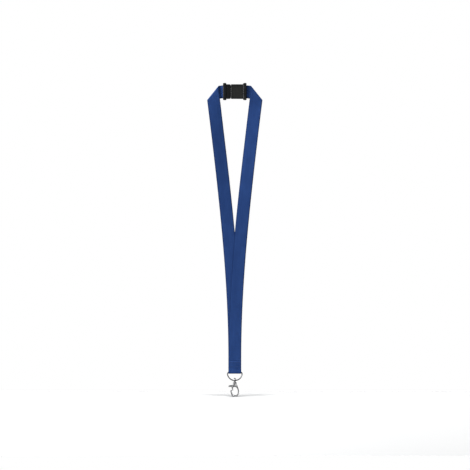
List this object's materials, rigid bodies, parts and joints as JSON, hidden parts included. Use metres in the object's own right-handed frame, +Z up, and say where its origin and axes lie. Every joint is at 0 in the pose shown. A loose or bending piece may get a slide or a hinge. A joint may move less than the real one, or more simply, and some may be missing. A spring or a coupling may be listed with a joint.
{
  "type": "neck lanyard",
  "caption": "Flat woven neck lanyard with a pull-apart safety buckle at the nape, folded corners, a wire D-ring and a swivelling trigger hook.",
  "frame": {"origin": "middle of the buckle's flat underside, where the lanyard rests on a neck or a peg", "axes": "+Z up along the hanging straps, +X across the wearer towards the buckle's socket, +Y from the front to the back"},
  "size_m": [0.086, 0.0076, 0.4862],
  "materials": {
    "webbing": "matt, finely woven, with denser edges",
    "thread": "twisted sewing thread",
    "buckle": "moulded, satin",
    "plated_steel": "nickel plated, bright",
    "spring_steel": "drawn wire"
  },
  "bodies": {
    "straps": {"strap_right": "webbing", "strap_left": "webbing", "seam_socket_end": "thread", "seam_tab_upper": "thread", "seam_tab_lower": "thread", "buckle_socket": "buckle"},
    "plug_end": {"buckle_plug": "buckle", "strap_left_neck": "webbing", "seam_plug_end": "thread"},
    "ring": {"d_ring": "plated_steel"},
    "eye": {"swivel_eye": "plated_steel"},
    "hook": {"hook_body": "plated_steel", "gate_pin": "plated_steel", "gate_spring": "spring_steel"},
    "gate": {"gate_lever": "plated_steel"}
  },
  "joints": [
    {"name": "buckle_release", "type": "slide", "parent": "straps", "child": "plug_end", "axis": [-1, 0, 0], "range_m": [0, 0.014]},
    {"name": "ring_swing", "type": "hinge", "parent": "straps", "child": "ring", "pos_m": [0, 0, -0.4239], "axis": [1, 0, 0], "range_deg": [-90, 90]},
    {"name": "eye_on_ring", "type": "hinge", "parent": "ring", "child": "eye", "pos_m": [0, 0, -0.4251], "axis": [0, 1, 0], "range_deg": [-50, 50]},
    {"name": "hook_swivel", "type": "hinge", "parent": "eye", "child": "hook", "pos_m": [0, 0, -0.44], "axis": [0, 0, 1], "continuous": true},
    {"name": "gate_open", "type": "hinge", "parent": "hook", "child": "gate", "pos_m": [-0.0013, 0, -0.44465], "axis": [0, -1, 0], "range_deg": [0, 30], "stiffness_Nm_per_rad": 0.02, "springref_deg": -17.19, "deforming": ["gate_spring"]}
  ]
}
